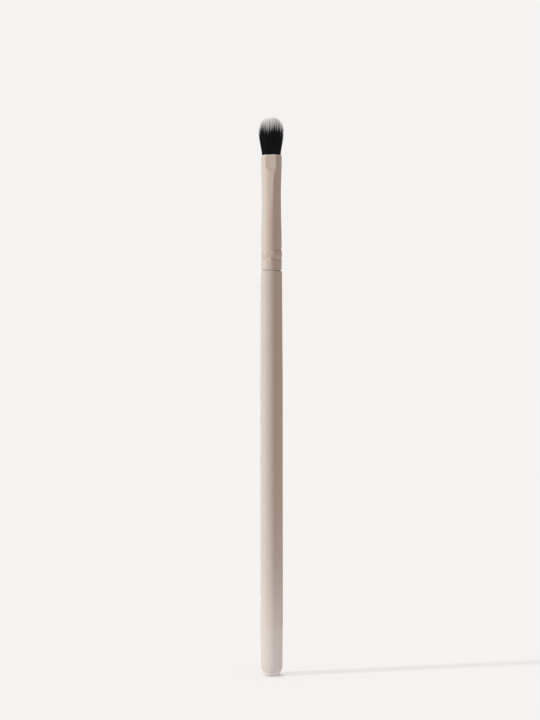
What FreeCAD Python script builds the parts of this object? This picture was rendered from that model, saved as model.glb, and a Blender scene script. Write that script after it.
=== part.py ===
import FreeCAD, Part
import math
import os
import Sketcher

# Eyeshadow brush, standing on its butt. Millimetres, +Z along the brush, origin in the middle of the
# butt's flat face. +X is the wide way of the tuft, and the flat of the ferrule's mouth faces -Y and +Y.

doc = FreeCAD.newDocument("eyeshadow_brush")

# Driving dimensions, as alias, value and meaning.
DRIVING_DIMENSIONS = [
    ("handle_length", 122.95, "butt face to shoulder"),
    ("butt_flat_radius", 2.12, "flat face that the brush stands on"),
    ("butt_bevel_height", 1.75, "height of the butt's bevel"),
    ("butt_radius", 3.25, "handle radius at the top of the bevel"),
    ("butt_round", 2.6, "rounding between the bevel and the side"),
    ("butt_edge_round", 0.2, "rounding between the flat face and the bevel"),
    ("grip_start", 16.0, "height at which the straight grip begins"),
    ("grip_length", 76.0, "length of the straight grip"),
    ("grip_radius", 3.42, "radius of the straight grip"),
    ("neck_radius", 3.26, "handle radius at the shoulder"),
    ("shoulder_round", 0.45, "rounding of the shoulder's edge"),
    ("tenon_end_gap", 1.0, "clearance between the tenon's end and the resin plug"),
    ("tenon_lead", 0.35, "how far the lead-in narrows the tenon's radius"),
    ("ferrule_length", 35.0, "lower end to mouth"),
    ("ferrule_wall", 0.28, "thickness of the ferrule's tube"),
    ("ferrule_end_radius", 3.12, "outer radius of the crimped end"),
    ("ferrule_neck_radius", 2.915, "outer radius of the neck"),
    ("ferrule_neck_length", 3.3, "straight length of the neck"),
    ("ferrule_end_round", 0.2, "rounding of the lower end's outer edge"),
    ("shoulder_gap", 0.2, "clearance between the shoulder and the ferrule"),
    ("crimp_first", 3.2, "lower end to the middle of the first crimp"),
    ("crimp_pitch", 3.1, "distance between the two crimps"),
    ("crimp_width", 1.3, "height of one crimp"),
    ("crimp_depth", 0.11, "depth of one crimp"),
    ("crimp_bulge", 0.07, "how far the tube swells between the crimps"),
    ("straight_past_crimp", 1.0, "straight tube above the second crimp"),
    ("press_length", 12.4, "mouth to where the pressing begins"),
    ("throat_depth", 8.9, "mouth to the throat section"),
    ("throat_half_width", 2.96, "half width of the throat section"),
    ("throat_half_depth", 2.84, "half depth of the throat section"),
    ("throat_flat", 0.4, "half width of the throat's flat"),
    ("swell_depth", 4.7, "mouth to the swell under the pressed facet"),
    ("swell_half_width", 3.1, "half width of the swell"),
    ("swell_half_depth", 2.62, "half depth of the swell"),
    ("swell_flat", 0.8, "half width of the swell's flat"),
    ("facet_depth", 3.7, "mouth to the lower edge of the pressed facet"),
    ("facet_half_width", 3.13, "half width at the facet's lower edge"),
    ("mouth_half_width", 3.15, "half width of the mouth"),
    ("mouth_half_depth", 2.44, "half depth of the mouth and the facet"),
    ("mouth_flat", 1.22, "half width of the facet's flat"),
    ("flat_half_angle", 4.0, "half the angle that a flat turns through, in degrees"),
    ("corner_angle", 45.0, "angle from the middle of a flat to the end of its rounded corner, in degrees"),
    ("lip_round", 0.11, "rounding of the mouth's two edges"),
    ("glue_film", 0.08, "thickness of the adhesive round the tenon"),
    ("plug_length", 5.5, "length of the resin plug"),
    ("plug_floor", 1.0, "resin under the fibre roots"),
    ("plug_gap", 0.02, "clearance between the plug and the tube"),
    ("root_radius", 2.1, "radius of the bound fibre roots"),
    ("root_gap", 0.06, "clearance between the roots and the mouth's bore"),
    ("thread_diameter", 0.3, "diameter of the tie's thread"),
    ("thread_pitch", 0.75, "height of one turn of the tie"),
    ("thread_turns", 4.0, "turns of the tie"),
    ("thread_gap", 0.05, "clearance round the tie"),
    ("tie_start", 0.5, "lower end of the roots to the tie's groove"),
    ("tuft_swing_gap", 0.3, "clearance between the tuft and the bore, front and back"),
    ("tuft_side_gap", 0.15, "clearance between the tuft and the bore, left and right"),
    ("flare_height", 2.0, "mouth to the tuft's flare section"),
    ("flare_half_width", 3.16, "half width of the flare section"),
    ("flare_half_depth", 2.05, "half depth of the flare section"),
    ("belly_height", 6.05, "mouth to the widest section of the tuft"),
    ("belly_half_width", 3.55, "half width of the widest section"),
    ("belly_half_depth", 2.75, "half depth of the widest section"),
    ("dome_height", 5.8, "widest section to the tip"),
    ("dye_height", 8.3, "mouth to the line where the dye ends"),
    ("dye_tool_margin", 1.0, "how far the dividing tool stands clear of the tuft"),
]

sizes = doc.addObject("Spreadsheet::Sheet", "sizes")
for row, (alias, value, meaning) in enumerate(DRIVING_DIMENSIONS, start=1):
    sizes.set(f"A{row}", meaning)
    sizes.set(f"B{row}", str(value))
    sizes.setAlias(f"B{row}", alias)
doc.recompute()

# Heights that several pieces share, as expressions on the sheet.
FERRULE_BASE = "(sizes.handle_length + sizes.shoulder_gap)"
MOUTH = f"({FERRULE_BASE} + sizes.ferrule_length)"
CRIMPS = [f"({FERRULE_BASE} + sizes.crimp_first + {turn} * sizes.crimp_pitch)" for turn in range(2)]
STRAIGHT_TOP = f"({CRIMPS[-1]} + sizes.crimp_width / 2 + sizes.straight_past_crimp)"
PRESS_START = f"({MOUTH} - sizes.press_length)"
NECK_START = f"({PRESS_START} - sizes.ferrule_neck_length)"
BORE_RADIUS = "(sizes.ferrule_end_radius - sizes.ferrule_wall)"
TENON_RADIUS = f"({BORE_RADIUS} - sizes.glue_film)"
PLUG_BASE = f"({PRESS_START} - sizes.plug_length)"
TENON_END = f"({PLUG_BASE} - sizes.tenon_end_gap)"
ROOT_BASE = f"({PLUG_BASE} + sizes.plug_floor)"
TIE_BASE = f"({ROOT_BASE} + sizes.tie_start)"
TIE_TOP = (f"({TIE_BASE} + sizes.thread_pitch * sizes.thread_turns"
           " + sizes.thread_diameter + 2 * sizes.thread_gap)")
TIE_REACH = "(sizes.thread_diameter / 2 + sizes.thread_gap)"
TUFT_HALF_WIDTH = "(sizes.mouth_half_width - sizes.ferrule_wall - sizes.tuft_side_gap)"
TUFT_HALF_DEPTH = "(sizes.mouth_half_depth - sizes.ferrule_wall - sizes.tuft_swing_gap)"
BELLY = f"({MOUTH} + sizes.belly_height)"

# How a sketch numbers an edge's points, and its own two axes.
EDGE_POINTS = ["edge", "start", "end", "centre"]
START, END, CENTRE = (EDGE_POINTS.index(point) for point in ("start", "end", "centre"))
HORIZONTAL_AXIS, VERTICAL_AXIS = range(-1, -3, -1)
ORIGIN_POINT = (HORIZONTAL_AXIS, START)


def new_body(label):
    body = doc.addObject("PartDesign::Body", label)
    body.Label = label
    return body


def new_sketch(body, name, plane, height=None):
    """A sketch on one of the body's origin planes, lifted by an expression."""
    sketch = body.newObject("Sketcher::SketchObject", name)
    support = [feature for feature in body.Origin.OriginFeatures if feature.Role == plane][0]
    sketch.AttachmentSupport = [(support, "")]
    sketch.MapMode = "FlatFace"
    if height:
        sketch.setExpression("AttachmentOffset.Base.z", height)
    return sketch


def bind(sketch, kind, elements, name, expression):
    """A named dimension of the sketch that follows the sheet."""
    value = float(sketch.evalExpression(expression))
    index = sketch.addConstraint(Sketcher.Constraint(kind, *elements, value))
    sketch.renameConstraint(index, name)
    sketch.setExpression(f"Constraints.{name}", expression)


def place_point(sketch, geometry, end, name, across, along):
    """Ties one point to the origin by two expressions. Zero puts it on the axis."""
    if across == "0":
        sketch.addConstraint(Sketcher.Constraint("PointOnObject", geometry, end, VERTICAL_AXIS))
    else:
        bind(sketch, "DistanceX", (*ORIGIN_POINT, geometry, end), f"{name}_across", across)
    if along == "0":
        sketch.addConstraint(Sketcher.Constraint("PointOnObject", geometry, end, HORIZONTAL_AXIS))
    else:
        bind(sketch, "DistanceY", (*ORIGIN_POINT, geometry, end), f"{name}_along", along)


def arc_between(first, last, radius, turns_left):
    """An arc of under a half circle from first to last, and which of its ends is first."""
    chord = last - first
    rise = math.sqrt(radius ** 2 - (chord.Length / 2) ** 2)
    left = FreeCAD.Vector(-chord.y, chord.x, 0).normalize()
    centre = (first + last) / 2 + left * (rise if turns_left else -rise)
    angles = [math.atan2((point - centre).y, (point - centre).x) for point in (first, last)]
    if not turns_left:
        angles.reverse()
    circle = Part.Circle(centre, FreeCAD.Vector(0, 0, 1), radius)
    return Part.ArcOfCircle(circle, *angles), (START if turns_left else END)


def half_section(body, name, corners):
    """A closed outline beside the Z axis. Each corner is (radius, height), or (radius, height, arc radius,
    whether the arc turns left) where the edge that leaves the corner is an arc."""
    sketch = new_sketch(body, name, "XZ_Plane")
    points = [FreeCAD.Vector(*(float(sketch.evalExpression(size)) for size in corner[:2]), 0)
              for corner in corners]
    first_ends = []
    for number, corner in enumerate(corners):
        here, there = points[number], points[(number + 1) % len(points)]
        if len(corner) == 2:
            sketch.addGeometry(Part.LineSegment(here, there), False)
            first_ends.append(START)
        else:
            arc, first_end = arc_between(here, there, float(sketch.evalExpression(corner[2])), corner[3])
            sketch.addGeometry(arc, False)
            first_ends.append(first_end)
    for number, corner in enumerate(corners):
        last_end = END if first_ends[number - 1] == START else START
        before = (number - 1) % len(corners)
        sketch.addConstraint(
            Sketcher.Constraint("Coincident", before, last_end, number, first_ends[number]))
        place_point(sketch, number, first_ends[number], f"corner{number}", *corner[:2])
        if len(corner) == 4:
            bind(sketch, "Radius", (number,), f"bend{number}", corner[2])
    return sketch


def turned(body, name, sketch):
    """The solid of a half section turned about the Z axis."""
    feature = body.newObject("PartDesign::Revolution", name)
    feature.Profile = sketch
    feature.ReferenceAxis = (sketch, ["V_Axis"])
    feature.Angle = 360
    return feature


def rounded(body, name, radius, edge_is_meant):
    """Rounds the edges of the body's last feature that edge_is_meant picks."""
    doc.recompute()
    base = body.Tip
    names = [f"Edge{number}" for number, edge in enumerate(base.Shape.Edges, start=1) if edge_is_meant(edge)]
    if not names:
        raise RuntimeError(f"{name} found no edge")
    feature = body.newObject("PartDesign::Fillet", name)
    feature.Base = (base, names)
    feature.setExpression("Radius", radius)
    return feature


def size_of(expression):
    return float(sizes.evalExpression(expression))


def ring_edge(radius, height):
    """Picks the round edge with this radius at this height."""
    def edge_is_meant(edge):
        return (isinstance(edge.Curve, Part.Circle)
                and math.isclose(edge.Curve.Radius, size_of(radius), abs_tol=1e-4)
                and math.isclose(edge.Curve.Center.z, size_of(height), abs_tol=1e-4))
    return edge_is_meant


# The crimps are circular hollows, and between them the tube swells a little. The wall of the ferrule, the
# adhesive and the tenon all follow the same heights.
CRIMP_BEND = "((sizes.crimp_width / 2) ^ 2 + sizes.crimp_depth ^ 2) / (2 * sizes.crimp_depth)"
BULGE_HALF = "((sizes.crimp_pitch - sizes.crimp_width) / 2)"
BULGE_BEND = f"({BULGE_HALF} ^ 2 + sizes.crimp_bulge ^ 2) / (2 * sizes.crimp_bulge)"


def crimped_wall(radius, swells):
    """The corners of the two crimps on a wall of this radius, going up."""
    corners = []
    for number, middle in enumerate(CRIMPS):
        corners.append((radius, f"{middle} - sizes.crimp_width / 2", CRIMP_BEND, False))
        top = (radius, f"{middle} + sizes.crimp_width / 2")
        if swells and number == 0:
            top += (BULGE_BEND, True)
        corners.append(top)
    return corners


def reversed_wall(corners):
    """The same corners going down. An edge's arc moves to the edge's other end and turns the other way."""
    going_down = []
    for number in range(len(corners) - 1, -1, -1):
        corner = corners[number][:2]
        if number > 0 and len(corners[number - 1]) == 4:
            bend, turns_left = corners[number - 1][2:]
            corner += (bend, not turns_left)
        going_down.append(corner)
    return going_down


# Handle: a turned hardwood stick with a bevelled butt, a straight grip, a shoulder and a tenon with a
# tapered lead-in. The two hollows in the tenon are where the ferrule is crimped into it.
handle = new_body("handle")
turned(handle, "stick", half_section(handle, "stick_outline", [
    ("0", "0"),
    ("sizes.butt_flat_radius", "0"),
    ("sizes.butt_radius", "sizes.butt_bevel_height"),
    ("sizes.grip_radius", "sizes.grip_start"),
    ("sizes.grip_radius", "sizes.grip_start + sizes.grip_length"),
    ("sizes.neck_radius", "sizes.handle_length"),
    (TENON_RADIUS, "sizes.handle_length"),
    *crimped_wall(TENON_RADIUS, swells=False),
    (TENON_RADIUS, STRAIGHT_TOP),
    (f"{TENON_RADIUS} - sizes.tenon_lead", TENON_END),
    ("0", TENON_END),
]))
bevel_top = ring_edge("sizes.butt_radius", "sizes.butt_bevel_height")
flat_rim = ring_edge("sizes.butt_flat_radius", "0")
shoulder_rim = ring_edge("sizes.neck_radius", "sizes.handle_length")
rounded(handle, "butt_rounding", "sizes.butt_round", bevel_top)
rounded(handle, "butt_edge_rounding", "sizes.butt_edge_round", flat_rim)
rounded(handle, "shoulder_rounding", "sizes.shoulder_round", shoulder_rim)

# Adhesive film between the tenon and the ferrule, along the straight part of the tenon.
tenon_glue = new_body("tenon_glue")
turned(tenon_glue, "film", half_section(tenon_glue, "film_outline", [
    (TENON_RADIUS, FERRULE_BASE),
    (BORE_RADIUS, FERRULE_BASE),
    *crimped_wall(BORE_RADIUS, swells=True),
    (BORE_RADIUS, STRAIGHT_TOP),
    (TENON_RADIUS, STRAIGHT_TOP),
    *reversed_wall(crimped_wall(TENON_RADIUS, swells=False)),
]))

# Ferrule: a drawn tube, crimped twice round the tenon and narrowing to a neck. Its mouth is pressed
# between jaws, which leave a flat facet front and back with a small step below it.
ferrule = new_body("ferrule")
NECK_BORE = "(sizes.ferrule_neck_radius - sizes.ferrule_wall)"
turned(ferrule, "round_tube", half_section(ferrule, "tube_wall", [
    ("sizes.ferrule_end_radius", FERRULE_BASE),
    *crimped_wall("sizes.ferrule_end_radius", swells=True),
    ("sizes.ferrule_end_radius", STRAIGHT_TOP),
    ("sizes.ferrule_neck_radius", NECK_START),
    ("sizes.ferrule_neck_radius", PRESS_START),
    (NECK_BORE, PRESS_START),
    (NECK_BORE, NECK_START),
    (BORE_RADIUS, STRAIGHT_TOP),
    *reversed_wall(crimped_wall(BORE_RADIUS, swells=True)),
    (BORE_RADIUS, FERRULE_BASE),
]))


def pressed_sketch(body, name, height, section, inset):
    """A tube's section after pressing: eight tangent arcs, which are two flats with rounded corners and two
    round sides. The section is its half width, its half depth and half the width of its flats, and the inset
    moves the whole outline inwards."""
    half_width, half_depth, flat = section
    across_corner = "(sin(sizes.corner_angle) - sin(sizes.flat_half_angle))"
    along_corner = "(cos(sizes.flat_half_angle) - cos(sizes.corner_angle))"
    across_side = "(1 - sin(sizes.corner_angle))"
    along_side = "cos(sizes.corner_angle)"
    width_left = f"({half_width} - {flat})"
    depth_left = f"({half_depth} - {flat} * tan(sizes.flat_half_angle / 2))"
    shared = f"({across_corner} * {along_side} - {across_side} * {along_corner})"
    face = f"({flat} / sin(sizes.flat_half_angle) - {inset})"
    corner = f"(({width_left} * {along_side} - {depth_left} * {across_side}) / {shared} - {inset})"
    side = f"(({depth_left} * {across_corner} - {width_left} * {along_corner}) / {shared} - {inset})"
    flat_end = (f"{face} * sin(sizes.flat_half_angle)",
                f"{half_depth} - {inset} - {face} * (1 - cos(sizes.flat_half_angle))")
    side_end = (f"{flat_end[0]} + {corner} * {across_corner}",
                f"{flat_end[1]} - {corner} * {along_corner}")

    sketch = new_sketch(body, name, "XY_Plane", height)
    flat_x, flat_y, side_x, side_y = (float(sketch.evalExpression(size)) for size in flat_end + side_end)
    ends = [(side_x, -side_y), (side_x, side_y), (flat_x, flat_y), (-flat_x, flat_y),
            (-side_x, side_y), (-side_x, -side_y), (-flat_x, -flat_y), (flat_x, -flat_y)]
    points = [FreeCAD.Vector(x, y, 0) for x, y in ends]
    radii = [side, corner, face, corner] * 2
    for number, radius in enumerate(radii):
        next_point = points[(number + 1) % len(points)]
        arc, _ = arc_between(points[number], next_point, float(sketch.evalExpression(radius)), True)
        sketch.addGeometry(arc, False)
    for number in range(len(radii)):
        following = (number + 1) % len(radii)
        sketch.addConstraint(Sketcher.Constraint("Coincident", number, END, following, START))
    side_arc, corner_arc, face_arc, far_corner, far_side, low_corner, low_face, last_corner = range(len(radii))
    place_point(sketch, corner_arc, START, "side_end", *side_end)
    place_point(sketch, face_arc, START, "flat_end", *flat_end)
    for arc, mirrored in ((side_arc, HORIZONTAL_AXIS), (far_side, VERTICAL_AXIS)):
        sketch.addConstraint(Sketcher.Constraint("Symmetric", arc, START, corner_arc, START, mirrored))
    for arc, mirrored in ((far_corner, VERTICAL_AXIS), (last_corner, HORIZONTAL_AXIS)):
        sketch.addConstraint(Sketcher.Constraint("Symmetric", arc, START, face_arc, START, mirrored))
    for arc, opposite in ((low_corner, corner_arc), (low_face, face_arc)):
        sketch.addConstraint(Sketcher.Constraint("Symmetric", arc, START, opposite, START, *ORIGIN_POINT))
    for number, radius in enumerate(radii):
        bind(sketch, "Radius", (number,), f"arc{number}", radius)
    return sketch


def round_section(radius):
    """The same kind of section on a tube that isn't pressed, whose flats are part of the circle."""
    return radius, radius, f"({radius} * sin(sizes.flat_half_angle))"


def lofted(body, kind, name, sections, ruled):
    feature = body.newObject(f"PartDesign::{kind}", name)
    feature.Profile = sections[0]
    feature.Sections = sections[1:]
    feature.Ruled = ruled
    return feature


MOUTH_SECTION = ("sizes.mouth_half_width", "sizes.mouth_half_depth", "sizes.mouth_flat")
FACET_SECTION = ("sizes.facet_half_width", "sizes.mouth_half_depth", "sizes.mouth_flat")
SWELL_SECTION = ("sizes.swell_half_width", "sizes.swell_half_depth", "sizes.swell_flat")
THROAT_SECTION = ("sizes.throat_half_width", "sizes.throat_half_depth", "sizes.throat_flat")
NECK_PRESSED = [
    ("start", PRESS_START, round_section("sizes.ferrule_neck_radius")),
    ("throat", f"{MOUTH} - sizes.throat_depth", THROAT_SECTION),
    ("swell", f"{MOUTH} - sizes.swell_depth", SWELL_SECTION),
]
MOUTH_PRESSED = [
    ("facet", f"{MOUTH} - sizes.facet_depth", FACET_SECTION),
    ("mouth", MOUTH, MOUTH_SECTION),
]
PRESSED_SURFACES = [
    ("AdditiveLoft", "outer", "0"),
    ("SubtractiveLoft", "bore", "sizes.ferrule_wall"),
]
for kind, surface, inset in PRESSED_SURFACES:
    neck, mouth = ([pressed_sketch(ferrule, f"{surface}_{place}", height, section, inset)
                    for place, height, section in places] for places in (NECK_PRESSED, MOUTH_PRESSED))
    lofted(ferrule, kind, f"{surface}_neck", neck, ruled=False)
    lofted(ferrule, kind, f"{surface}_mouth", neck[-1:] + mouth, ruled=True)


def at_mouth(edge):
    """Picks the edges that lie in the plane of the mouth."""
    return all(math.isclose(vertex.Z, size_of(MOUTH), abs_tol=1e-4) for vertex in edge.Vertexes)


lower_rim = ring_edge("sizes.ferrule_end_radius", FERRULE_BASE)
rounded(ferrule, "end_rounding", "sizes.ferrule_end_round", lower_rim)
rounded(ferrule, "lip_rounding", "sizes.lip_round", at_mouth)

# Resin plug, cast in the ferrule's neck round the ends of the fibres and their tie.
resin_plug = new_body("resin_plug")
PLUG_RADIUS = f"({NECK_BORE} - sizes.plug_gap)"
turned(resin_plug, "casting", half_section(resin_plug, "casting_outline", [
    ("0", PLUG_BASE),
    (PLUG_RADIUS, PLUG_BASE),
    (PLUG_RADIUS, PRESS_START),
    ("sizes.root_radius", PRESS_START),
    ("sizes.root_radius", TIE_TOP),
    (f"sizes.root_radius + {TIE_REACH}", TIE_TOP),
    (f"sizes.root_radius + {TIE_REACH}", TIE_BASE),
    ("sizes.root_radius", TIE_BASE),
    ("sizes.root_radius", ROOT_BASE),
    ("0", ROOT_BASE),
]))

# Tie: a thread wound round the fibre roots, half sunk in them.
root_tie = new_body("root_tie")
thread = new_sketch(root_tie, "thread", "XZ_Plane")
thread_start = f"{TIE_BASE} + {TIE_REACH}"
thread_middle = FreeCAD.Vector(size_of("sizes.root_radius"), size_of(thread_start), 0)
thread_radius = size_of("sizes.thread_diameter / 2")
thread.addGeometry(Part.Circle(thread_middle, FreeCAD.Vector(0, 0, 1), thread_radius), False)
place_point(thread, 0, CENTRE, "middle", "sizes.root_radius", thread_start)
bind(thread, "Radius", (0,), "thickness", "sizes.thread_diameter / 2")
winding = root_tie.newObject("PartDesign::AdditiveHelix", "winding")
winding.Profile = thread
winding.ReferenceAxis = (thread, ["V_Axis"])
winding.Mode = "pitch-turns-angle"
winding.setExpression("Pitch", "sizes.thread_pitch")
winding.setExpression("Turns", "sizes.thread_turns")
winding.Angle = 0

# Fibre roots: round where the tie and the resin hold them, then spreading to fill the pressed mouth. They
# end below the mouth, clear of the free fibres' rounded foot.
tuft_roots = new_body("tuft_roots")
turned(tuft_roots, "bound_end", half_section(tuft_roots, "bound_outline", [
    ("0", ROOT_BASE),
    ("sizes.root_radius", ROOT_BASE),
    ("sizes.root_radius", TIE_BASE),
    (f"sizes.root_radius - {TIE_REACH}", TIE_BASE),
    (f"sizes.root_radius - {TIE_REACH}", TIE_TOP),
    ("sizes.root_radius", TIE_TOP),
    ("sizes.root_radius", PRESS_START),
    ("0", PRESS_START),
]))
ROOT_INSET = "(sizes.ferrule_wall + sizes.root_gap)"
ROOT_TOP = f"{MOUTH} - {TUFT_HALF_DEPTH} - sizes.tuft_swing_gap"
lofted(tuft_roots, "AdditiveLoft", "spread_end", [
    pressed_sketch(tuft_roots, "spread_start", PRESS_START, round_section("sizes.root_radius"), "0"),
    pressed_sketch(tuft_roots, "spread_facet", f"{MOUTH} - sizes.facet_depth", FACET_SECTION, ROOT_INSET),
    pressed_sketch(tuft_roots, "spread_top", ROOT_TOP, FACET_SECTION, ROOT_INSET),
], ruled=True)

# Free tuft: an oval bundle that flares out of the mouth to its widest section and ends in a dome. Its foot
# is a spheroid about the X axis through the middle of the mouth, the line that the tuft bends about.
tuft_form = new_body("tuft_form")


def ellipse_sketch(name, height, half_width, half_depth):
    sketch = new_sketch(tuft_form, name, "XY_Plane", height)
    wide = float(sketch.evalExpression(half_width))
    deep = float(sketch.evalExpression(half_depth))
    sketch.addGeometry(Part.Ellipse(FreeCAD.Vector(0, 0, 0), wide, deep), False)
    sketch.exposeInternalGeometry(0)
    wide_line, deep_line = 1, 2
    sketch.addConstraint(Sketcher.Constraint("Coincident", 0, CENTRE, *ORIGIN_POINT))
    sketch.addConstraint(Sketcher.Constraint("Horizontal", wide_line))
    bind(sketch, "Distance", (wide_line,), "width", f"2 * {half_width}")
    bind(sketch, "Distance", (deep_line,), "depth", f"2 * {half_depth}")
    return sketch


lofted(tuft_form, "AdditiveLoft", "flare", [
    ellipse_sketch("flare_foot", MOUTH, TUFT_HALF_WIDTH, TUFT_HALF_DEPTH),
    ellipse_sketch("flare_middle", f"{MOUTH} + sizes.flare_height",
                   "sizes.flare_half_width", "sizes.flare_half_depth"),
    ellipse_sketch("flare_belly", BELLY, "sizes.belly_half_width", "sizes.belly_half_depth"),
], ruled=False)


def half_ellipsoid(name, height, upright, half_width, half_depth, angles):
    """The upper or lower half of an ellipsoid on the Z axis."""
    feature = tuft_form.newObject("PartDesign::AdditiveEllipsoid", name)
    support = [plane for plane in tuft_form.Origin.OriginFeatures if plane.Role == "XY_Plane"][0]
    feature.AttachmentSupport = [(support, "")]
    feature.MapMode = "FlatFace"
    feature.setExpression("AttachmentOffset.Base.z", height)
    feature.setExpression("Radius1", upright)
    feature.setExpression("Radius2", half_width)
    feature.setExpression("Radius3", half_depth)
    feature.Angle1, feature.Angle2 = angles


BELLY_HALVES = ("sizes.belly_half_width", "sizes.belly_half_depth")
half_ellipsoid("dome", BELLY, "sizes.dome_height", *BELLY_HALVES, (0, 90))
half_ellipsoid("foot", MOUTH, TUFT_HALF_DEPTH, TUFT_HALF_WIDTH, TUFT_HALF_DEPTH, (-90, 0))

# The fibres are dyed up to a line below their tips. The tuft is divided there, so that each colour has its
# own piece.
pale_zone = doc.addObject("Part::Cylinder", "pale_zone")
pale_zone.setExpression("Radius", "sizes.belly_half_width + sizes.dye_tool_margin")
pale_zone.setExpression("Height", "sizes.belly_height + sizes.dome_height + sizes.dye_tool_margin")
pale_zone.setExpression("Placement.Base.z", f"{MOUTH} + sizes.dye_height")
tuft_dark_fibres = doc.addObject("Part::Cut", "tuft_dark_fibres")
tuft_dark_fibres.Base = tuft_form
tuft_dark_fibres.Tool = pale_zone
tuft_pale_tips = doc.addObject("Part::Common", "tuft_pale_tips")
tuft_pale_tips.Base = tuft_form
tuft_pale_tips.Tool = pale_zone

# Build, test and write each piece.
doc.recompute()
PIECES = [handle, tenon_glue, ferrule, resin_plug, root_tie, tuft_roots, tuft_dark_fibres, tuft_pale_tips]
failed = [item.Label for item in doc.Objects if {"Invalid", "Error"} & set(item.State)]
if failed:
    raise RuntimeError(f"failed objects: {failed}")
for piece in PIECES:
    if piece.Shape.isNull() or not piece.Shape.isValid() or len(piece.Shape.Solids) != 1:
        raise RuntimeError(f"{piece.Label} is not one valid solid")
bore_removed = ferrule.Shape.Volume < Part.makeCylinder(
    size_of("sizes.ferrule_end_radius"), size_of("sizes.ferrule_length")).Volume / 2
if not bore_removed:
    raise RuntimeError("the ferrule has no bore")

# The tie's turns are a thread's thickness and more apart.
turn_gap = size_of("sizes.thread_pitch - sizes.thread_diameter")
print(f"least gap between the turns of the tie: {turn_gap:.2f} mm")

os.makedirs("parts", exist_ok=True)
for piece in PIECES:
    piece.Shape.exportStep(f"parts/{piece.Label}.step")
    print(f"{piece.Label}: {piece.Shape.Volume:.2f} mm3")
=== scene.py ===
import math

import bpy
from mathutils import Euler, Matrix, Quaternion, Vector


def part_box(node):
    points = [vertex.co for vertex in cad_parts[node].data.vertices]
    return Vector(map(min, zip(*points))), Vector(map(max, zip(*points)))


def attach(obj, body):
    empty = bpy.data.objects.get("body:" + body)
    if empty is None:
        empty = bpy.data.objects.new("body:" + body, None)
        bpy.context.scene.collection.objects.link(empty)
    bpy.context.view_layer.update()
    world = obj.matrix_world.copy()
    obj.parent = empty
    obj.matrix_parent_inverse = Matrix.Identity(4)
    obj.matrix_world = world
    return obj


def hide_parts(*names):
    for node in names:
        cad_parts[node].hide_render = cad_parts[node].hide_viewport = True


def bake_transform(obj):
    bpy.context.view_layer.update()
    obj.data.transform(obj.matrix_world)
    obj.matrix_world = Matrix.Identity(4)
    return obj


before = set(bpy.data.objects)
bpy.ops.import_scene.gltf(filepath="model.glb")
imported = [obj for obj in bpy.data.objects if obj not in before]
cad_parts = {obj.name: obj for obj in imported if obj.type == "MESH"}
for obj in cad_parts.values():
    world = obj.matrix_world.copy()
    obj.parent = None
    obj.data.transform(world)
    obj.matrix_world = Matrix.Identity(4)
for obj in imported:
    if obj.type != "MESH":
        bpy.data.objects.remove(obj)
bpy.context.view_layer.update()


# Handle: a turned hardwood stick, sanded and sprayed with a matte beige lacquer.
# The lacquer is paler low on the butt's bevel, painted light for the floor's bounce, and a little
# thinner and paler on the shoulder, where the stick is held and wiped. Its hidden tenon is glued into
# the ferrule.
class Reading:
    """What one node socket gives. Sums written with it become Math nodes of the same tree."""

    def __init__(self, tree, socket=None):
        self.tree = tree
        self.socket = socket

    def node(self, kind, settings=None, sockets=None, output=0):
        """A new node of the tree. Its settings come first, then its sockets' values or links."""
        made = self.tree.nodes.new(kind)
        for name, value in (settings or {}).items():
            setattr(made, name, value)
        for name, value in (sockets or {}).items():
            if isinstance(value, Reading):
                self.tree.links.new(value.socket, made.inputs[name])
            else:
                made.inputs[name].default_value = value
        return Reading(self.tree, made.outputs[output] if made.outputs else None)

    def sum(self, operation, *values):
        return self.node("ShaderNodeMath", {"operation": operation}, dict(enumerate(values)))

    def __add__(self, other):
        return self.sum("ADD", self, other)

    def __radd__(self, other):
        return self.sum("ADD", other, self)

    def __sub__(self, other):
        return self.sum("SUBTRACT", self, other)

    def __rsub__(self, other):
        return self.sum("SUBTRACT", other, self)

    def __mul__(self, other):
        return self.sum("MULTIPLY", self, other)

    def __rmul__(self, other):
        return self.sum("MULTIPLY", other, self)

    def __truediv__(self, other):
        return self.sum("DIVIDE", self, other)

    def __pow__(self, other):
        return self.sum("POWER", self, other)

    def step(self, low, high):
        """0 below low, 1 above high and a smooth rise between them."""
        return self.node(
            "ShaderNodeMapRange",
            {"interpolation_type": "SMOOTHSTEP"},
            {"Value": self, "From Min": low, "From Max": high},
        )

    def between(self, first, second):
        """A colour that goes from first to second as this value goes from 0 to 1."""
        return self.node("ShaderNodeMix", {"data_type": "RGBA"}, {0: self, 6: first, 7: second}, 2)

    def axis(self, name):
        """One of the three numbers of this place: X, Y or Z."""
        return self.node("ShaderNodeSeparateXYZ", {}, {"Vector": self}, name)

    def stretched(self, scale):
        """This place with each axis multiplied, which draws a pattern out along the smallest."""
        return self.node("ShaderNodeVectorMath", {"operation": "MULTIPLY"}, {0: self, 1: scale})

    def noise(self, scale, detail=2.0, output="Fac"):
        """A cloudy pattern over this place."""
        return self.node(
            "ShaderNodeTexNoise", {}, {"Vector": self, "Scale": scale, "Detail": detail}, output
        )

    def bumps(self, strength, distance):
        """The normal of a surface that this value raises, by the distance at most."""
        return self.node(
            "ShaderNodeBump", {}, {"Strength": strength, "Distance": distance, "Height": self}
        )


def new_finish(name):
    """A material without nodes, and a reading that adds them."""
    material = bpy.data.materials.new(name)
    material.use_nodes = True
    material.node_tree.nodes.clear()
    return material, Reading(material.node_tree)


def place_on_piece(sheet):
    return sheet.node("ShaderNodeTexCoord", output="Object")


def show(sheet, sockets):
    """Ends a finish with one surface that has these values on its sockets."""
    surface = sheet.node("ShaderNodeBsdfPrincipled", {}, sockets)
    sheet.node("ShaderNodeOutputMaterial", {}, {"Surface": surface})


def coat(node_name, finish):
    """Covers one of the frame's solids with a finish."""
    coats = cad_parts[node_name].data.materials
    coats.clear()
    coats.append(finish)


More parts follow.
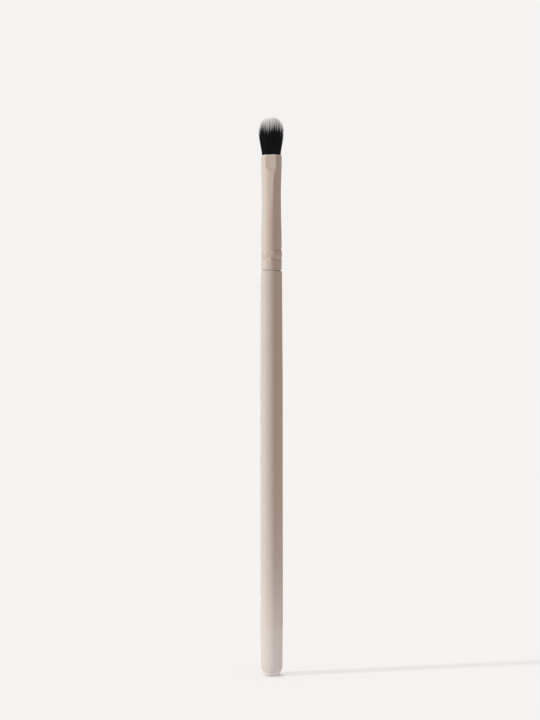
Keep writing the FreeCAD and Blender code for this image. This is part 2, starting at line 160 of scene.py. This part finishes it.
shoulder_gap = 0.0002
shoulder_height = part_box("ferrule")[0].z - shoulder_gap
butt_bounce_start = 0.0005
butt_bounce_end = 0.0016
shoulder_rub = 0.0010
shoulder_rub_share = 0.25
deep_beige = (0.488, 0.366, 0.288, 1.0)
light_beige = (0.548, 0.420, 0.336, 1.0)
lit_and_worn_beige = (0.660, 0.545, 0.455, 1.0)
grain_stretch = (900.0, 900.0, 28.0)
lacquer_relief = 0.00002

handle_lacquer, sheet = new_finish("handle_lacquer")
place = place_on_piece(sheet)
height = place.axis("Z")
mottle = place.noise(scale=260.0, detail=4.0)
speck = place.noise(scale=5200.0)
grain = place.stretched(grain_stretch).noise(scale=1.0, detail=3.0)
# Painted light: the butt's bevel is paler low down, for the bounce from the floor. The shoulder is
# paler from wear.
painted_bounce_at_butt = 1 - height.step(butt_bounce_start, butt_bounce_end)
rubbed_shoulder = height.step(shoulder_height - shoulder_rub, shoulder_height)
bounce_and_wear = painted_bounce_at_butt + shoulder_rub_share * rubbed_shoulder
tone = (mottle - 0.5) * 0.5 + (speck - 0.5) * 0.35 + (grain - 0.5) * 0.25 + 0.5
beige = tone.between(deep_beige, light_beige)
beige = (bounce_and_wear * (0.55 + 0.5 * mottle)).between(beige, lit_and_worn_beige)
relief = speck * 0.35 + grain * 0.45 + mottle * 0.2
show(sheet, {
    "Base Color": beige,
    "Roughness": 0.56 + 0.12 * speck + 0.06 * mottle,
    "Diffuse Roughness": 0.35,
    "IOR": 1.46,
    "Normal": relief.bumps(strength=0.25, distance=lacquer_relief),
})
coat("handle", handle_lacquer)


# Glue: the cured film between the tenon and the ferrule, squeezed out as a thin ring
# at the shoulder when the two were pressed together. Its tone is kept near black, darker than the
# glue itself, as painted shade in the gap at the shoulder.
def clouded(name, deep, light, cloud_scale, roughness, bump_strength):
    """A clear, hard finish with a faint cloud in its tone, its gloss and its surface."""
    finish, sheet = new_finish(name)
    cloud = place_on_piece(sheet).noise(cloud_scale, detail=3.0)
    show(sheet, {
        "Base Color": cloud.between(deep, light),
        "Roughness": roughness + 0.2 * cloud,
        "Normal": cloud.bumps(bump_strength, distance=0.00003),
    })
    return finish


# Painted shade: the glue's near-black tone darkens the gap at the shoulder.
coat("tenon_glue", clouded(
    "tenon_glue",
    deep=(0.05, 0.036, 0.022, 1.0),
    light=(0.09, 0.066, 0.042, 1.0),
    cloud_scale=900.0,
    roughness=0.2,
    bump_strength=0.3,
))


# Ferrule: a drawn aluminium tube sprayed in the handle's beige. It is crimped twice round the
# tenon, once by a rolled ring and once by a four-jawed tool, and its mouth is pressed flat front
# and back. The front jaw bit harder on the left, so a ridge stands below the facet's right corner.
ferrule_foot, mouth_height = (corner.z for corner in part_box("ferrule"))
ferrule_rise = (mouth_height - ferrule_foot) * 1000
wall = 0.28
half_wall = wall / 2
foot_round = 0.5

# Millimetres above the foot, and the tube's size there. It is round up to the neck.
round_length = [
    (0.0, 3.125), (2.0, 3.135), (4.6, 3.135), (7.6, 3.112),
    (9.2, 3.115), (12.2, 3.067), (16.8, 2.970), (21.3, 2.915),
]
tube_half_width = round_length + [
    (24.4, 2.922), (27.4, 3.000), (30.5, 3.106), (32.4, 3.146), (34.5, 3.152), (35.0, 3.165),
]
tube_half_depth = round_length + [
    (24.4, 2.890), (27.4, 2.850), (30.5, 2.770), (32.4, 2.700), (34.5, 2.680), (35.0, 2.690),
]

# The pressed facets: the jaws' distance from the axis, and their turn from the front in radians.
jaw_reach = [
    (29.6, 3.200), (30.4, 2.800), (31.0, 2.540), (31.6, 2.450),
    (32.6, 2.435), (34.5, 2.440), (35.0, 2.455),
]
facet_turns = (math.radians(-2), math.pi)
facet_spread = 1.2
facet_blunt = 0.10

# The ridge: its turn from the front in degrees, its height, and the breadth of its slopes in radians.
ridge_turn = [
    (12.0, 17.0), (20.0, 19.0), (26.0, 20.5), (28.4, 23.0),
    (30.2, 33.0), (31.4, 37.0), (35.0, 35.0),
]
ridge_height = [
    (12.0, 0.0), (16.6, 0.04), (20.0, 0.14), (24.2, 0.27),
    (27.8, 0.31), (31.0, 0.30), (35.0, 0.24),
]
ridge_left_slope = 0.55
ridge_right_slope = 0.45
ridge_blunt = 0.2

# The crimps. The four jaws bit a groove and pushed up a bulge above it, both of them stronger at
# a jaw than between two, and the ring rolled a narrow groove above the bulge.
four_jaws_turn = math.radians(5)
four_jaws_fullness = 0.7
groove_rise = 3.2
groove_below = 0.30
groove_above = 0.70
groove_between_jaws = 0.030
groove_at_jaw = 0.240
bulge_rise = 4.85
bulge_breadth = 1.0
bulge_between_jaws = 0.062
bulge_at_jaw = 0.110
ring_rise = 6.35
ring_breadth = 0.36
ring_depth = 0.125

# Small marks of the tools: a burr between two jaws, a dent in the front facet and its proud corner.
burr = {"height": 0.050, "turn": 0.10, "breadth": 0.07, "middle": 2.9, "length": 0.45}
dent = {"height": -0.060, "turn": -0.02, "breadth": 0.16, "middle": 31.9, "length": 0.80}
corner_bump = {"height": 0.090, "turn": 0.71, "breadth": 0.16, "middle": 30.9, "length": 0.70}


def drawn_through(points, place):
    """The height of a smooth curve through the points."""
    place = min(max(place, points[0][0]), points[-1][0])
    at = max(number for number in range(len(points) - 1) if points[number][0] <= place)
    (x0, y0), (x1, y1) = points[at], points[at + 1]
    before, after = points[max(at - 1, 0)], points[min(at + 2, len(points) - 1)]
    span = x1 - x0
    slope0 = (y1 - before[1]) / (x1 - before[0]) * span
    slope1 = (after[1] - y0) / (after[0] - x0) * span
    t = (place - x0) / span
    return (
        y0 * (1 + 2 * t) * (1 - t) ** 2
        + slope0 * t * (1 - t) ** 2
        + y1 * t * t * (3 - 2 * t)
        + slope1 * t * t * (t - 1)
    )


def mark(offset, breadth):
    """1 at the middle of a tool's mark, fading on both sides."""
    return math.exp(-(offset / breadth) ** 2)


def spot(front, rise, height, turn, breadth, middle, length):
    return height * mark(front - turn, breadth) * mark(rise - middle, length)


def blunted_least(first, second, blunt):
    """The smaller of two sizes, with the corner between them rounded off."""
    near = max(blunt - abs(first - second), 0.0) / blunt
    return min(first, second) - near * near * blunt / 4


def turned_from(turn, facing):
    """The turn seen from another one, from half a turn left to half a turn right."""
    return (turn - facing + math.pi) % (2 * math.pi) - math.pi


def ridge(lean, height):
    """A crease that climbs slowly on its left and drops faster on its right."""
    climb = height * max(1 + lean / ridge_left_slope, 0.0) ** 2
    drop = height * max(1 - lean / ridge_right_slope, 0.0) ** 2
    return blunted_least(climb, drop, ridge_blunt * height) if height > 0 else 0.0


def ferrule_radius(turn, rise):
    """The tube's outer radius. The turn goes from the front round to the right, in radians."""
    radius = 1 / math.hypot(
        math.sin(turn) / drawn_through(tube_half_width, rise),
        math.cos(turn) / drawn_through(tube_half_depth, rise),
    )
    front = turned_from(turn, 0.0)
    from_ridge = front - math.radians(drawn_through(ridge_turn, rise))
    radius += ridge(from_ridge, drawn_through(ridge_height, rise))
    jaw = abs(math.sin(2 * (turn - four_jaws_turn))) ** four_jaws_fullness
    radius += (bulge_between_jaws + bulge_at_jaw * jaw) * mark(rise - bulge_rise, bulge_breadth)
    radius -= ring_depth * mark(rise - ring_rise, ring_breadth)
    groove = mark(rise - groove_rise, groove_below if rise < groove_rise else groove_above)
    radius -= (groove_between_jaws + groove_at_jaw * jaw) * groove
    radius += spot(front, rise, **burr)
    for facing in facet_turns:
        lean = turned_from(turn, facing)
        if abs(lean) < facet_spread:
            pressed = drawn_through(jaw_reach, rise) / math.cos(lean)
            radius = blunted_least(radius, pressed, facet_blunt)
    radius += spot(front, rise, **dent)
    radius += spot(front, rise, **corner_bump)
    return radius


def steps(first, last, pace):
    count = round((last - first) / pace)
    return [first + (last - first) * number / count for number in range(count)]


# The rings of points run up the outside, over the lip, down the inside and round the foot. Outside
# they start a new pace at each of these heights, close together on the crimps and the facets' edge.
outer_paces = [
    (foot_round, 0.3), (2.0, 0.1), (7.6, 0.6), (21.0, 0.3), (29.4, 0.12), (32.6, 0.3), (34.4, 0.1),
]
inner_pace = 0.6
lip_rise = ferrule_rise - half_wall
outer_ends = [start for start, pace in outer_paces[1:]] + [lip_rise]
half_round = [math.pi * number / 12 for number in range(13)]
ferrule_rings = []
for (start, pace), end in zip(outer_paces, outer_ends):
    ferrule_rings += [(rise, 0.0) for rise in steps(start, end, pace)]
for bend in half_round:
    rise = lip_rise + half_wall * math.sin(bend)
    ferrule_rings.append((rise, half_wall - half_wall * math.cos(bend)))
for rise in reversed(steps(foot_round, ferrule_rise - wall, inner_pace)):
    ferrule_rings.append((rise, wall))
for bend in half_round[1:-1]:
    rise = foot_round - foot_round * math.sin(bend)
    ferrule_rings.append((rise, half_wall + half_wall * math.cos(bend)))

around = 192
ferrule_points = []
for rise, inset in ferrule_rings:
    for number in range(around):
        turn = 2 * math.pi * number / around
        radius = (ferrule_radius(turn, rise) - inset) / 1000
        point = (radius * math.sin(turn), -radius * math.cos(turn), ferrule_foot + rise / 1000)
        ferrule_points.append(point)
ferrule_faces = []
for ring in range(len(ferrule_rings)):
    here = ring * around
    above = (ring + 1) % len(ferrule_rings) * around
    for number in range(around):
        beside = (number + 1) % around
        ferrule_faces.append((here + number, here + beside, above + beside, above + number))


def set_in_scene(name, data):
    piece = bpy.data.objects.new(name, data)
    bpy.context.scene.collection.objects.link(piece)
    return piece


ferrule_mesh = bpy.data.meshes.new("ferrule_tube")
ferrule_mesh.from_pydata(ferrule_points, [], ferrule_faces)
ferrule_mesh.shade_smooth()
ferrule_tube = set_in_scene("ferrule_tube", ferrule_mesh)

lip_band_start = mouth_height - 0.00042
lip_band_end = mouth_height - 0.00016
foot_wear_start = ferrule_foot + 0.00004
foot_wear_end = ferrule_foot + 0.00018
deep_paint = (0.500, 0.366, 0.286, 1.0)
light_paint = (0.560, 0.416, 0.332, 1.0)
pale_lip_paint = (0.700, 0.590, 0.500, 1.0)
bare_aluminium = (0.780, 0.770, 0.760, 1.0)
drawing_stretch = (1600.0, 1600.0, 40.0)
paint_relief = 0.00002

ferrule_paint, sheet = new_finish("ferrule_paint")
place = place_on_piece(sheet)
height = place.axis("Z")
mottle = place.noise(scale=340.0, detail=3.0)
speck = place.noise(scale=6400.0)
drawn = place.stretched(drawing_stretch).noise(scale=1.0)
lip = height.step(lip_band_start, lip_band_end)
foot = 1 - height.step(foot_wear_start, foot_wear_end)
bare = (lip * 0.45 + foot) * (mottle * 0.6 + speck * 0.8).step(0.62, 0.86)
tone = (mottle - 0.5) * 0.5 + (speck - 0.5) * 0.4 + (drawn - 0.5) * 0.2 + 0.5
paint = tone.between(deep_paint, light_paint)
# The paint is paler along the lip.
paint = (lip * 0.4).between(paint, pale_lip_paint)
paint = bare.between(paint, bare_aluminium)
relief = speck * 0.5 + drawn * 0.3 + mottle * 0.2
show(sheet, {
    "Base Color": paint,
    "Metallic": bare * 0.8,
    "Roughness": 0.56 + 0.12 * speck - 0.15 * bare,
    "Diffuse Roughness": 0.35,
    "IOR": 1.46,
    "Normal": relief.bumps(strength=0.2, distance=paint_relief),
})
ferrule_mesh.materials.append(ferrule_paint)
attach(ferrule_tube, "brush")
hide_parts("ferrule")


# Resin plug: clear resin poured round the fibre roots inside the neck, where it set hard
# and grips both the roots and the tube.
coat("resin_plug", clouded(
    "resin",
    deep=(0.62, 0.48, 0.24, 1.0),
    light=(0.76, 0.64, 0.40, 1.0),
    cloud_scale=700.0,
    roughness=0.12,
    bump_strength=0.2,
))


# Root tie: cotton thread wound tight round the bundle of fibres before it was set in the
# resin. Its plies show as slanted stripes.
deep_cotton = (0.56, 0.53, 0.47, 1.0)
light_cotton = (0.80, 0.77, 0.71, 1.0)
ply_relief = 0.00004

thread, sheet = new_finish("thread")
place = place_on_piece(sheet)
plies = sheet.node(
    "ShaderNodeTexWave",
    {"wave_type": "BANDS", "bands_direction": "DIAGONAL"},
    {"Vector": place, "Scale": 2400.0, "Distortion": 1.5},
    "Fac",
)
fuzz = place.noise(scale=9000.0)
relief = plies + 0.3 * fuzz
show(sheet, {
    "Base Color": (plies * 0.7 + fuzz * 0.3).between(deep_cotton, light_cotton),
    "Roughness": 0.8 + 0.1 * fuzz,
    "Normal": relief.bumps(strength=0.5, distance=ply_relief),
})
coat("root_tie", thread)


# Tuft: some thousands of tapered synthetic filaments, dyed black with the last few
# millimetres left pale. They leave the pressed mouth as an oval bundle, swell to a belly and
# close to a soft dome, gathered in small locks towards the tips.
fibre_sizes = {
    "Seed": 11.0,
    "Fibres": 4200.0,
    "Locks": 9.0,
    "Root Depth": 0.0022,
    "Reach": 0.0121,
    "Side Drop": 0.0025,
    "Face Drop": 0.0022,
    "Unevenness": 0.0022,
    "Mouth Half Width": 0.00281,
    "Mouth Half Depth": 0.00210,
    "Belly Height": 0.0073,
    "Belly Half Width": 0.00365,
    "Belly Half Depth": 0.00285,
    "Closing In": 0.0006,
    "Lean": -0.00007,
    "Sway": 0.00045,
    "Root Radius": 0.000042,
    "Tip Radius": 0.000009,
    "Taper Length": 0.0045,
    "Level Dye": 0.75,
    "Lock Dye": 0.5,
    "Dye Slant": 0.0005,
}

fibre_tree = bpy.data.node_groups.new("tuft_fibres", "GeometryNodeTree")
fibre_inputs = {
    name: fibre_tree.interface.new_socket(name, in_out="INPUT", socket_type="NodeSocketFloat")
    for name in fibre_sizes
}
fibre_inputs["Filament"] = fibre_tree.interface.new_socket(
    "Filament", in_out="INPUT", socket_type="NodeSocketMaterial"
)
fibre_tree.interface.new_socket("Tuft", in_out="OUTPUT", socket_type="NodeSocketGeometry")
given = fibre_tree.nodes.new("NodeGroupInput")
size = {name: Reading(fibre_tree, given.outputs[name]) for name in fibre_inputs}
tuft = Reading(fibre_tree)

# Each fibre starts as an upright line on a disc of radius 1, so that a point's x and y give the
# fibre's seat in the bundle and its z how far along the fibre it is.
points_per_fibre = 8
disc = tuft.node("GeometryNodeMeshCircle", {"fill_type": "NGON"}, {"Vertices": 64, "Radius": 1.0})
seats = tuft.node(
    "GeometryNodeDistributePointsOnFaces",
    {},
    {"Mesh": disc, "Density": size["Fibres"] / math.pi, "Seed": size["Seed"]},
)
line = tuft.node("GeometryNodeCurvePrimitiveLine")
line = tuft.node("GeometryNodeResampleCurve", {}, {"Curve": line, "Count": points_per_fibre})
lines = tuft.node("GeometryNodeInstanceOnPoints", {}, {"Points": seats, "Instance": line})
lines = tuft.node("GeometryNodeRealizeInstances", {}, {"Geometry": lines})

start = tuft.node("GeometryNodeInputPosition")
across, deep, along = (start.axis(name) for name in "XYZ")
seat = tuft.node("ShaderNodeCombineXYZ", {}, {"X": across, "Y": deep, "Z": size["Seed"]})
chance = tuft.node("ShaderNodeTexWhiteNoise", {}, {"Vector": seat}, "Color")
shortness, dye, stray = (chance.axis(name) for name in "XYZ")
side = tuft.sum("ABSOLUTE", across)
face = tuft.sum("ABSOLUTE", deep)

# The bundle's form: a dome that drops to its rim, a belly, and the closing above the belly.
dome_power = 3.0
swell_power = 1.35
closing_power = 1.45
tip = (
    size["Reach"]
    - size["Side Drop"] * side ** dome_power
    - size["Face Drop"] * face ** dome_power
    - size["Unevenness"] * shortness
)
rise = along * (tip + size["Root Depth"]) - size["Root Depth"]
belly_share = tuft.sum("MINIMUM", tuft.sum("MAXIMUM", rise / size["Belly Height"], 0.0), 1.0)
swell = tuft.sum("SINE", belly_share * (math.pi / 2)) ** swell_power
above_belly = (rise - size["Belly Height"]) / (size["Reach"] - size["Belly Height"])
close = tuft.sum("MAXIMUM", above_belly, 0.0) ** closing_power
half_width, half_depth = (
    size["Mouth Half " + way]
    + (size["Belly Half " + way] - size["Mouth Half " + way]) * swell
    - size["Closing In"] * close
    for way in ("Width", "Depth")
)

# Towards the tips the fibres lean to the middle of their lock, sway together in slow waves, and a
# few stray outwards.
gather_power = 3.0
gather_share = 0.5
stray_power = 12.0
stray_spread = 0.16
sway_waves_across = 5.0
sway_waves_along = 1.6
lock, lock_chance = (
    tuft.node(
        "ShaderNodeTexVoronoi",
        {"voronoi_dimensions": "2D"},
        {"Vector": seat, "Scale": size["Locks"]},
        output,
    )
    for output in ("Position", "Color")
)
lock_across, lock_deep = (lock.axis(name) for name in "XY")
lock_dye = lock_chance.axis("X")
gather = along ** gather_power * gather_share
spread = 1 + stray ** stray_power * along * along * stray_spread
sway_place = tuft.node(
    "ShaderNodeCombineXYZ",
    {},
    {
        "X": across * sway_waves_across,
        "Y": deep * sway_waves_across,
        "Z": along * sway_waves_along,
    },
)
sway = sway_place.noise(scale=1.0, detail=1.0, output="Color")
sway_across, sway_deep = (sway.axis(name) for name in "XY")
swing = size["Sway"] * along * along
seat_across = (across + (lock_across - across) * gather) * spread
seat_deep = (deep + (lock_deep - deep) * gather) * spread
bent = tuft.node(
    "ShaderNodeCombineXYZ",
    {},
    {
        "X": seat_across * half_width + (sway_across - 0.5) * swing + size["Lean"] * swell,
        "Y": seat_deep * half_depth + (sway_deep - 0.5) * swing,
        "Z": rise + mouth_height,
    },
)


def kept(geometry, value, name):
    """Keeps a value on the geometry's points, so that later nodes read it as it was here."""
    keeper = fibre_tree.nodes.new("GeometryNodeCaptureAttribute")
    keeper.capture_items.new("FLOAT", name)
    fibre_tree.links.new(geometry.socket, keeper.inputs[0])
    fibre_tree.links.new(value.socket, keeper.inputs[1])
    return Reading(fibre_tree, keeper.outputs[0]), Reading(fibre_tree, keeper.outputs[1])


lines, from_tip = kept(lines, tip - rise, "From Tip")
dyed_from = size["Level Dye"] * (size["Reach"] - tip) + size["Dye Slant"] * (across + 1)
lines, below_top = kept(lines, tip - rise + dyed_from, "Below Top")
lines, dye = kept(lines, dye + (lock_dye - dye) * size["Lock Dye"], "Dye")
lines = tuft.node("GeometryNodeSetPosition", {}, {"Geometry": lines, "Position": bent})

# Each fibre is a three-sided tube that tapers to its tip.
fibre_sides = 3
full_thickness = (from_tip / size["Taper Length"]).step(0.0, 1.0)
thickness = size["Tip Radius"] + (size["Root Radius"] - size["Tip Radius"]) * full_thickness
outline = tuft.node(
    "GeometryNodeCurvePrimitiveCircle", {}, {"Resolution": fibre_sides, "Radius": 1.0}
)
outline, round_fibre = kept(outline, tuft.node("GeometryNodeSplineParameter"), "Round")
fibres = tuft.node(
    "GeometryNodeCurveToMesh",
    {},
    {"Curve": lines, "Profile Curve": outline, "Scale": thickness, "Fill Caps": True},
)

# The fibre's own map: its chance of dye across, with a little for the way round it, and its level
# in the tuft upwards.
map_dye = 0.94
map_round = 0.03
map_margin = 0.01
filament_place = tuft.node(
    "ShaderNodeCombineXYZ",
    {},
    {
        "X": dye * map_dye + round_fibre * map_round + map_margin,
        "Y": 1 - below_top / (size["Reach"] + size["Root Depth"] + size["Dye Slant"] * 2),
    },
)
fibres = tuft.node(
    "GeometryNodeStoreNamedAttribute",
    {"data_type": "FLOAT2", "domain": "CORNER"},
    {"Geometry": fibres, "Name": "OFBake", "Value": filament_place},
)
fibres = tuft.node("GeometryNodeSetShadeSmooth", {}, {"Geometry": fibres})
fibres = tuft.node("GeometryNodeRealizeInstances", {}, {"Geometry": fibres})
fibres = tuft.node("GeometryNodeSetMaterial", {}, {"Geometry": fibres, "Material": size["Filament"]})
tuft.node("NodeGroupOutput", {}, {"Tuft": fibres})

# The dye ends at its own height on each filament, a few millimetres short of the tip. It goes from
# black through a smoky grey to ivory. The ivory is painted palest at the very tip: painted light for
# the light that shines through the thin tips.
dye_slant = fibre_sizes["Dye Slant"]
filament_length = fibre_sizes["Reach"] + fibre_sizes["Root Depth"] + 2 * dye_slant
longest_undyed = 0.0058
fade_above = 0.0007
fade_below = 0.0013
tip_light_length = 0.0034
smoky_until = 0.6
ivory_from = 0.55
deep_black = (0.0036, 0.0036, 0.0038, 1.0)
faint_black = (0.0084, 0.0084, 0.0091, 1.0)
smoky_grey = (0.20, 0.207, 0.235, 1.0)
deep_ivory = (0.58, 0.565, 0.545, 1.0)
light_ivory = (0.66, 0.645, 0.62, 1.0)
tip_light_ivory = (0.82, 0.815, 0.80, 1.0)

filament, sheet = new_finish("two_tone_filament")
own = sheet.node("ShaderNodeUVMap", {"uv_map": "OFBake"})
dye_chance, length_share = (own.axis(name) for name in "XY")
left = (1 - length_share) * filament_length - dye_slant
undyed = longest_undyed * dye_chance
pale = 1 - (left - undyed).step(-fade_above, fade_below)
ivory = dye_chance.between(deep_ivory, light_ivory)
# Painted light: the last few millimetres are paler, for the light shining through the thin tips.
ivory = left.step(0.0, tip_light_length).between(tip_light_ivory, ivory)
black = dye_chance.between(deep_black, faint_black)
fading = pale.step(0.0, smoky_until).between(black, smoky_grey)
show(sheet, {
    "Base Color": pale.step(ivory_from, 1.0).between(fading, ivory),
    "Roughness": 0.5 + 0.15 * pale,
    "IOR": 1.4,
    "Specular IOR Level": 0.1,
})

tuft_fibres = set_in_scene("tuft_fibres", bpy.data.meshes.new("tuft_fibres"))
maker = tuft_fibres.modifiers.new("fibres", "NODES")
maker.node_group = fibre_tree
for name, value in fibre_sizes.items():
    maker[fibre_inputs[name].identifier] = value
maker[fibre_inputs["Filament"].identifier] = filament
made = tuft_fibres.evaluated_get(bpy.context.evaluated_depsgraph_get())
fibre_mesh = bpy.data.meshes.new_from_object(made)
tuft_fibres.modifiers.remove(maker)
tuft_fibres.data = fibre_mesh
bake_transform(tuft_fibres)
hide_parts("tuft_roots", "tuft_dark_fibres", "tuft_pale_tips")


# Floor: a pale sheet under the brush that runs on into the pale room, with no edge in view.
# It is lit from below as well, so that it glows evenly, and the glow is painted weaker beside the
# butt, at the front right, as a painted contact shadow.
floor_reach = 4.0
floor_drop = 0.00001
painted_shadow_middle = (0.0011, -0.0014, 0.0)
painted_shadow_core = 0.0013
painted_shadow_edge = 0.0041
floor_grey = (0.21, 0.206, 0.2025, 1.0)
painted_shadow_glow = (0.325, 0.302, 0.292, 1.0)
open_glow = (0.576, 0.572, 0.567, 1.0)

floor_mesh = bpy.data.meshes.new("floor")
floor_mesh.from_pydata(
    [(x * floor_reach, y * floor_reach, -floor_drop) for x, y in ((-1, -1), (1, -1), (1, 1), (-1, 1))],
    [],
    [(0, 1, 2, 3)],
)
floor = set_in_scene("floor", floor_mesh)
floor_sheet, sheet = new_finish("floor_sheet")
from_painted_shadow = sheet.node(
    "ShaderNodeVectorMath",
    {"operation": "DISTANCE"},
    {0: place_on_piece(sheet), 1: painted_shadow_middle},
    "Value",
)
# Painted shadow: the glow dims towards the butt's front right.
in_the_open = from_painted_shadow.step(painted_shadow_core, painted_shadow_edge)
show(sheet, {
    "Base Color": floor_grey,
    "Roughness": 0.9,
    "Specular IOR Level": 0.0,
    "Emission Color": in_the_open.between(painted_shadow_glow, open_glow),
    "Emission Strength": 1.0,
})
floor_mesh.materials.append(floor_sheet)


# Light: a soft low key from the left, and a pale room all round that fills the shade and is
# brightest overhead. Each lamp reaches only the pieces that it is meant for, as flags and screens
# would see to in a studio.
ceiling_start = 0.25
ceiling_end = 0.95
side_fill = (0.29, 0.29, 0.29, 1.0)
ceiling_fill = (0.45, 0.45, 0.45, 1.0)
wall_tone = (0.913, 0.896, 0.880, 1.0)

room = bpy.data.worlds.new("room")
bpy.context.scene.world = room
room.use_nodes = True
room.node_tree.nodes.clear()
air = Reading(room.node_tree)
ray = air.node("ShaderNodeLightPath", output="Is Camera Ray")
look = air.node("ShaderNodeTexCoord", output="Generated")
fill_tone = look.axis("Z").step(ceiling_start, ceiling_end).between(side_fill, ceiling_fill)
fill_glow = air.node("ShaderNodeBackground", {}, {"Color": fill_tone})
wall_glow = air.node("ShaderNodeBackground", {}, {"Color": wall_tone})
mixed = air.node("ShaderNodeMixShader", {}, {0: ray, 1: fill_glow, 2: wall_glow})
air.node("ShaderNodeOutputWorld", {}, {"Surface": mixed})


def new_lamp(name, kind, energy, color, pieces):
    """A lamp that reaches these pieces alone."""
    lamp = set_in_scene(name, bpy.data.lights.new(name, kind))
    lamp.data.energy = energy
    lamp.data.color = color
    lit = bpy.data.collections.new(name + "_lights")
    for piece in pieces:
        lit.objects.link(piece)
    lamp.light_linking.receiver_collection = lit
    return lamp


rigid_nodes = ("handle", "tenon_glue", "resin_plug", "root_tie")
rigid_pieces = [ferrule_tube] + [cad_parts[name] for name in rigid_nodes]
key_azimuth = math.radians(-68.0)
key_height = math.radians(18.0)
towards_key = Vector((
    math.sin(key_azimuth) * math.cos(key_height),
    -math.cos(key_azimuth) * math.cos(key_height),
    math.sin(key_height),
))
key_turn = towards_key.to_track_quat("Z", "Y").to_euler()
key = new_lamp("key", "SUN", energy=3.9, color=(0.80, 1.0, 1.13), pieces=rigid_pieces)
key.data.angle = math.radians(7.0)
key.rotation_euler = key_turn

# The floor has a key of its own from the same side, without the tint, so that its shadow stays grey.
floor_key = new_lamp("floor_key", "SUN", energy=4.7, color=(1.0, 1.0, 1.0), pieces=[floor])
floor_key.data.angle = math.radians(4.5)
floor_key.rotation_euler = key_turn

# A small card low at the front right throws light back on the handle's foot.
card_azimuth = math.radians(32.0)
card_distance = 0.036
card_height = 0.0035
card = new_lamp(
    "card", "AREA", energy=0.0108, color=(0.74, 1.0, 1.36), pieces=[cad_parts["handle"]]
)
card.data.shape = "RECTANGLE"
card.data.size = 0.080
card.data.size_y = 0.006
card.location = (
    card_distance * math.sin(card_azimuth),
    -card_distance * math.cos(card_azimuth),
    card_height,
)
card.rotation_euler = (math.radians(90.0), 0.0, card_azimuth)
card.visible_camera = False

# A wide wash from above brings the floor up to the wall's tone. A softer, higher light of its own
# takes the key's place on the tuft, whose pale tips the key would burn out.
wash = new_lamp("wash", "SUN", energy=2.4, color=(1.0, 0.963, 0.944), pieces=[floor])
wash.data.angle = math.radians(40.0)

tip_light = new_lamp("tip_light", "SUN", energy=5.4, color=(1.0, 0.97, 0.94), pieces=[tuft_fibres])
tip_light.data.angle = math.radians(140.0)
tip_light.rotation_euler = (math.radians(42.0), 0.0, math.radians(-18.0))


# Camera: on a stand, level with the upper handle and a little to the right of the pressed mouth's
# face, with a long lens. It is half a millimetre off the brush's axis and a trace out of upright,
# and its picture keeps the plain tones of the light, with no film curve.
camera_azimuth = math.radians(8.0)
camera_distance = 0.5180
camera_height = 0.09583
camera_sidestep = 0.00045
camera_roll = math.radians(-0.04)
camera = set_in_scene("camera", bpy.data.cameras.new("camera"))
camera.data.lens = 85.0
camera.data.sensor_width = 36.0
back = Vector((math.sin(camera_azimuth), -math.cos(camera_azimuth), 0.0))
right = Vector((math.cos(camera_azimuth), math.sin(camera_azimuth), 0.0))
up = Vector((0.0, 0.0, camera_height))
camera.location = back * camera_distance - right * camera_sidestep + up
level = Euler((math.radians(90.0), 0.0, camera_azimuth)).to_quaternion()
camera.rotation_euler = (level @ Quaternion((0.0, 0.0, 1.0), camera_roll)).to_euler()
bpy.context.scene.camera = camera
bpy.context.scene.view_settings.view_transform = "Standard"
